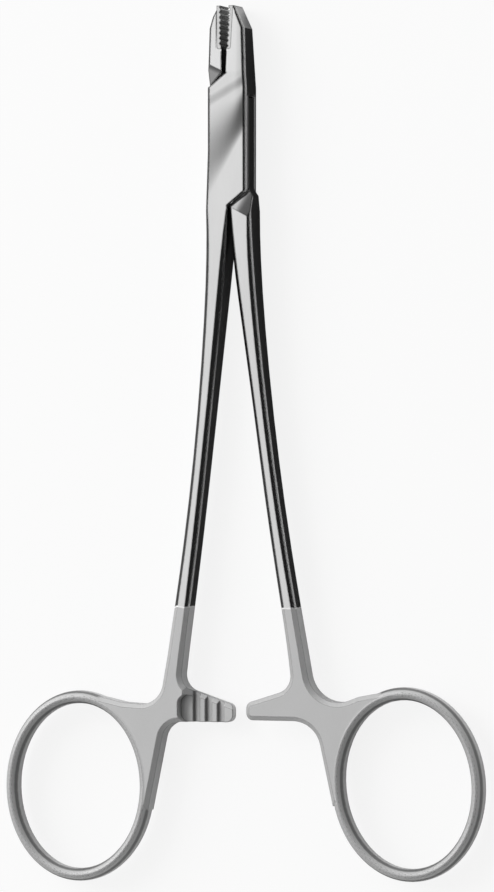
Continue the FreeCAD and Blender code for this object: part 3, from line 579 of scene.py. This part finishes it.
class FORCEPS_OT_inserts(bpy.types.Operator):
    """Gives the jaw inserts their carbide"""

    bl_idname = "forceps.inserts"
    bl_label = "Jaw inserts"

    def execute(self, context):
        material = carbide_material(context.scene.forceps_carbide)
        for name in CARBIDE_NODES:
            give_material(NODES[name], material)
        return {"FINISHED"}


def floor_material(colour):
    """A pale floor that camera, gloss and glass see partly as white, outside the shadow too."""
    material, tree, out = node_tree("stage_floor")
    cloth = add(tree, "ShaderNodeBsdfPrincipled", {
        "Base Color": opaque(colour), "Roughness": FLOOR_ROUGHNESS, "Specular IOR Level": 0.0})
    glow = add(tree, "ShaderNodeEmission", {"Color": WHITE, "Strength": 1.0})
    path = add(tree, "ShaderNodeLightPath").outputs
    seen = times(tree, path["Is Camera Ray"], CAMERA_WHITE)
    mirrored = math_node(tree, "MAXIMUM", path["Is Glossy Ray"], path["Is Transmission Ray"])
    share = math_node(tree, "MAXIMUM", seen, times(tree, mirrored, GLOSS_WHITE))
    mixed = add(tree, "ShaderNodeMixShader", {
        0: share, 1: cloth.outputs["BSDF"], 2: glow.outputs["Emission"]})
    tree.links.new(mixed.outputs["Shader"], out.inputs["Surface"])
    return material


def softbox_world():
    """A room that is bright to the left and dim to the right."""
    world = bpy.data.worlds.new("stage_world")
    world.use_nodes = True
    tree = world.node_tree
    tree.nodes.clear()
    out = tree.nodes.new("ShaderNodeOutputWorld")
    way = add(tree, "ShaderNodeTexCoord").outputs["Generated"]
    level = ramp(tree, dot(tree, way, BRIGHT_SIDE), *ROOM_FADE, *ROOM_LEVEL)
    back = add(tree, "ShaderNodeBackground", {"Color": WHITE, "Strength": level})
    tree.links.new(back.outputs["Background"], out.inputs["Surface"])
    return world


def add_floor(scene, colour):
    """A wide square just under the forceps."""
    mesh = bpy.data.meshes.new("stage_floor")
    shape = bmesh.new()
    level = Matrix.Translation((0, 0, CAD_BOX[0].z - FLOOR_GAP))
    bmesh.ops.create_grid(shape, x_segments=1, y_segments=1, size=FLOOR_HALF_WIDTH, matrix=level)
    shape.to_mesh(mesh)
    shape.free()
    floor = bpy.data.objects.new("stage_floor", mesh)
    scene.collection.objects.link(floor)
    give_material(floor, floor_material(colour))


def add_key_lamp(scene):
    """The soft key lamp, aimed at the forceps from the upper left."""
    data = bpy.data.lights.new("key", "AREA")
    data.shape = "RECTANGLE"
    data.size = data.size_y = KEY_WIDTH
    data.energy = KEY_WATTS
    lamp = bpy.data.objects.new("key", data)
    scene.collection.objects.link(lamp)
    lamp.location = KEY_PLACE
    lamp.rotation_mode = "QUATERNION"
    lamp.rotation_quaternion = (KEY_AIM - KEY_PLACE).to_track_quat("-Z", "Y")


def add_camera(scene, settings):
    """The photograph's camera, so that the pivot falls where the photograph has it."""
    camera = bpy.data.objects.new("photo_camera", bpy.data.cameras.new("photo_camera"))
    scene.collection.objects.link(camera)
    side = settings.view_side
    back = Vector((math.sin(side), 0, math.cos(side)))
    right = Vector((math.cos(side), 0, -math.sin(side)))
    up = Vector((0, 1, 0))
    scale = settings.pixels_per_metre
    centre = Vector((0, 0, MIDDLE_Z))
    centre += right * ((PHOTO_WIDTH / 2 - PIVOT_ACROSS) / scale)
    centre -= up * ((PHOTO_HEIGHT / 2 - PIVOT_DOWN) / scale)
    turn = Matrix((right, up, back)).transposed().to_4x4()
    camera.matrix_world = Matrix.Translation(centre + back * settings.distance) @ turn
    data = camera.data
    data.lens = data.sensor_width * settings.distance * scale / PHOTO_HEIGHT
    data.clip_start = CLIP_START
    data.clip_end = CLIP_END
    scene.camera = camera


class FORCEPS_OT_stage(bpy.types.Operator):
    """Lays the floor, lights the room, hangs the lamp and sets the camera"""

    bl_idname = "forceps.stage"
    bl_label = "Floor, light and camera"

    def execute(self, context):
        scene = context.scene
        add_floor(scene, scene.forceps_stage.floor)
        scene.world = softbox_world()
        add_key_lamp(scene)
        add_camera(scene, scene.forceps_stage)
        scene.view_settings.view_transform = "Standard"
        return {"FINISHED"}


class FORCEPS_PT_panel(bpy.types.Panel):
    """The forceps' finishes and stage"""

    bl_idname = "FORCEPS_PT_panel"
    bl_label = "Wire twisting forceps"
    bl_space_type = "VIEW_3D"
    bl_region_type = "UI"
    bl_category = "Forceps"

    def draw(self, context):
        for name in SETTINGS:
            settings = getattr(context.scene, name)
            box = self.layout.box()
            for key in settings.__annotations__:
                box.prop(settings, key)
        for operator in OPERATORS:
            self.layout.operator(operator.bl_idname)


OPERATORS = (FORCEPS_OT_steel, FORCEPS_OT_inserts, FORCEPS_OT_stage)
SETTINGS = {
    "forceps_steel": SteelSettings,
    "forceps_carbide": CarbideSettings,
    "forceps_stage": StageSettings,
}


def register():
    """Registers the settings, the operators and the panel."""
    for item in (*SETTINGS.values(), *OPERATORS, FORCEPS_PT_panel):
        bpy.utils.register_class(item)
    for name, item in SETTINGS.items():
        setattr(bpy.types.Scene, name, bpy.props.PointerProperty(type=item))


def unregister():
    """Removes the settings, the operators and the panel."""
    for name in SETTINGS:
        delattr(bpy.types.Scene, name)
    for item in reversed((*SETTINGS.values(), *OPERATORS, FORCEPS_PT_panel)):
        bpy.utils.unregister_class(item)


def main():
    """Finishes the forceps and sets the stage."""
    register()
    for operator in OPERATORS:
        group, name = operator.bl_idname.split(".")
        getattr(getattr(bpy.ops, group), name)()


if __name__ == "__main__":
    main()
